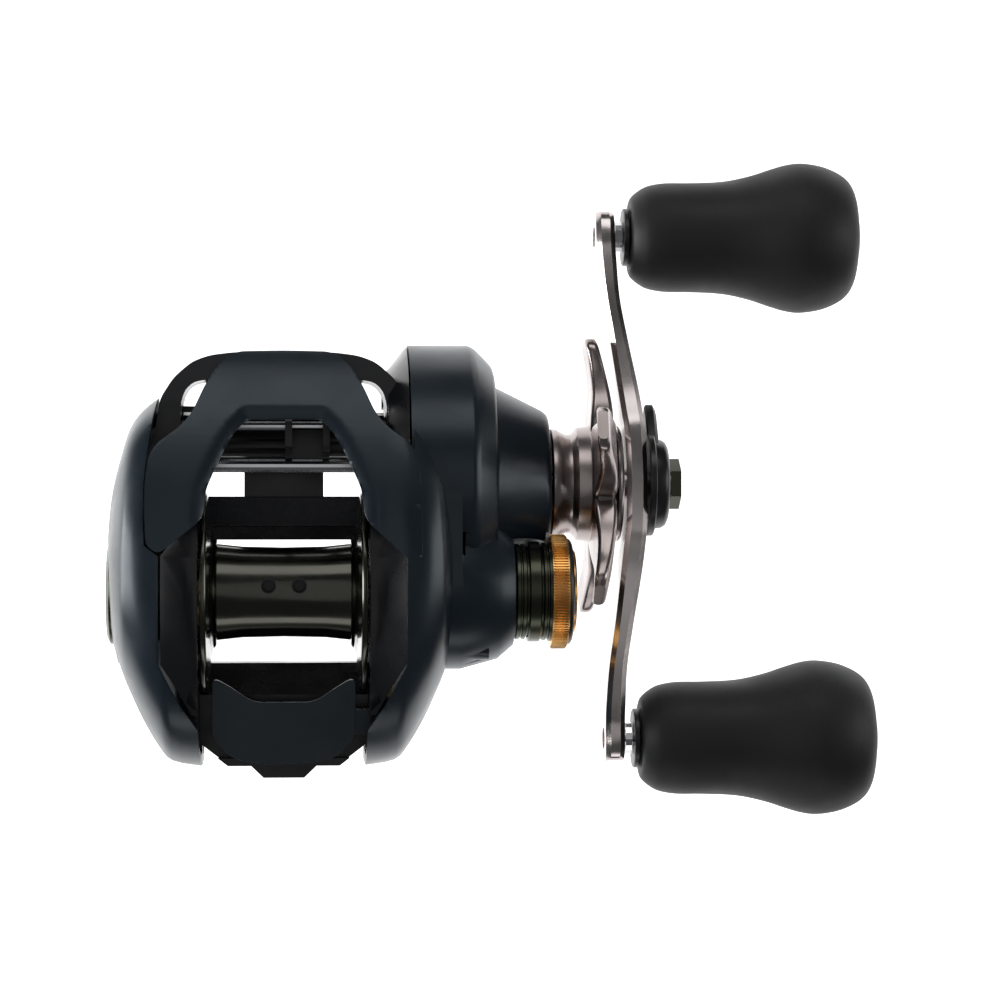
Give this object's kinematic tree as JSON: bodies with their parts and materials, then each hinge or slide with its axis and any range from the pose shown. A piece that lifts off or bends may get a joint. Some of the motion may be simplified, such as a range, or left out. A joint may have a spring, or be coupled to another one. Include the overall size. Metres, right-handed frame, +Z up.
{
  "type": "baitcasting reel",
  "caption": "Low-profile baitcasting fishing reel: spool in an open frame, level wind, thumb bar clutch, star drag, cast control, and a double handle with shaped grips.",
  "frame": {"origin": "middle of the rod seat, on the plane of the two foot blades' undersides, straight below the spool axis at the middle plane of the frame", "axes": "+X across the reel to the handle, +Y forward to the rod tip, +Z up, away from the rod"},
  "size_m": [0.1324, 0.1144, 0.0553],
  "materials": {
    "cover_paint": "dark blue-grey satin paint",
    "frame_black": "black satin paint",
    "handle_metal": "polished, warm rose-grey anodised",
    "gold": "gold anodised",
    "spool_metal": "dark olive anodised, glossy",
    "olive_metal": "dark olive anodised",
    "steel": "machined, bright",
    "brass": "machined",
    "black_plastic": "black",
    "grip_rubber": "matte black grip",
    "drag_carbon": "woven carbon friction disc"
  },
  "bodies": {
    "frame": {"frame": "frame_black", "front_foot": "frame_black", "rear_foot": "frame_black", "foot_screw_1": "steel", "foot_screw_2": "steel", "foot_screw_3": "steel", "foot_screw_4": "steel", "top_cover": "cover_paint", "gear_cover": "cover_paint", "cover_screw_1": "steel", "cover_screw_2": "steel", "cover_screw_3": "steel", "spool_bearing_right": "steel", "drive_shaft_bearing": "steel", "roller_clutch": "steel", "yoke_post_1": "steel", "yoke_post_2": "steel", "worm_tube": "black_plastic", "guide_rod_rear": "steel", "guide_rod_front": "steel"},
    "drive_train": {"drive_shaft": "steel", "worm_drive_gear": "black_plastic", "ratchet": "steel", "drive_gear": "brass", "drag_washer": "drag_carbon", "drag_plate": "steel", "drive_sleeve": "steel", "handle_collar": "handle_metal", "handle_arm": "handle_metal", "handle_retainer": "black_plastic", "handle_nut": "olive_metal", "front_knob_spindle": "steel", "rear_knob_spindle": "steel"},
    "star": {"star_drag": "handle_metal", "drag_spring": "steel"},
    "front_grip": {"front_knob": "grip_rubber", "front_knob_cap": "black_plastic", "front_knob_collar": "black_plastic"},
    "rear_grip": {"rear_knob": "grip_rubber", "rear_knob_cap": "black_plastic", "rear_knob_collar": "black_plastic"},
    "spool": {"spool": "spool_metal", "spool_shaft": "steel", "brake_hub": "brass"},
    "yoke": {"clutch_yoke": "steel"},
    "pinion": {"pinion_gear": "brass"},
    "cam": {"clutch_cam": "brass"},
    "thumb_bar": {"thumb_bar": "cover_paint"},
    "worm": {"worm_shaft": "steel", "worm_gear": "black_plastic"},
    "guide": {"line_guide": "black_plastic", "guide_pawl": "brass"},
    "palm_side": {"palm_cover": "cover_paint", "brake_ring": "olive_metal", "spool_bearing_left": "steel"},
    "dial": {"brake_dial": "olive_metal"},
    "cast_control": {"cast_control_knob": "gold", "cast_knob_ring": "olive_metal", "cast_face_ring": "gold"}
  },
  "joints": [
    {"name": "handle_turn", "type": "hinge", "parent": "frame", "child": "drive_train", "pos_m": [0, 0.0185, 0.0137], "axis": [1, 0, 0], "continuous": true},
    {"name": "spool_spin", "type": "hinge", "parent": "frame", "child": "spool", "pos_m": [0, 0, 0.025], "axis": [1, 0, 0], "continuous": true},
    {"name": "worm_spin", "type": "hinge", "parent": "frame", "child": "worm", "pos_m": [0, 0.0252, 0.0175], "axis": [1, 0, 0], "continuous": true},
    {"name": "star_drag_turn", "type": "hinge", "parent": "drive_train", "child": "star", "pos_m": [0, 0.0185, 0.0137], "axis": [1, 0, 0], "range_deg": [-180, 180]},
    {"name": "front_knob_spin", "type": "hinge", "parent": "drive_train", "child": "front_grip", "pos_m": [0, 0.06238, 0.00517], "axis": [1, 0, 0], "continuous": true},
    {"name": "rear_knob_spin", "type": "hinge", "parent": "drive_train", "child": "rear_grip", "pos_m": [0, -0.02538, 0.02223], "axis": [1, 0, 0], "continuous": true},
    {"name": "thumb_bar_press", "type": "slide", "parent": "frame", "child": "thumb_bar", "axis": [0, 0, -1], "range_m": [0, 0.0042]},
    {"name": "yoke_slide", "type": "slide", "parent": "frame", "child": "yoke", "axis": [1, 0, 0], "range_m": [0, 0.0022]},
    {"name": "pinion_spin", "type": "hinge", "parent": "yoke", "child": "pinion", "pos_m": [0, 0, 0.025], "axis": [1, 0, 0], "continuous": true},
    {"name": "clutch_cam_turn", "type": "hinge", "parent": "frame", "child": "cam", "pos_m": [0, 0, 0.025], "axis": [1, 0, 0], "range_deg": [0, 12]},
    {"name": "line_guide_slide", "type": "slide", "parent": "frame", "child": "guide", "axis": [1, 0, 0], "range_m": [-0.0121, 0.0044]},
    {"name": "palm_cover_slide", "type": "slide", "parent": "frame", "child": "palm_side", "axis": [-1, 0, 0], "range_m": [0, 0.03]},
    {"name": "brake_dial_turn", "type": "hinge", "parent": "palm_side", "child": "dial", "pos_m": [0, 0, 0.025], "axis": [1, 0, 0], "range_deg": [0, 150]},
    {"name": "cast_knob_turn", "type": "hinge", "parent": "frame", "child": "cast_control", "pos_m": [0, 0, 0.025], "axis": [1, 0, 0], "range_deg": [-180, 180]}
  ],
  "couplings": [
    {"joint": "spool_spin", "follows": "handle_turn", "ratio": -7.4},
    {"joint": "pinion_spin", "follows": "handle_turn", "ratio": -7.4},
    {"joint": "worm_spin", "follows": "handle_turn", "ratio": -1.2857},
    {"joint": "yoke_slide", "follows": "thumb_bar_press", "ratio": 0.48},
    {"joint": "clutch_cam_turn", "follows": "thumb_bar_press", "rad_per_m": 45.8}
  ]
}
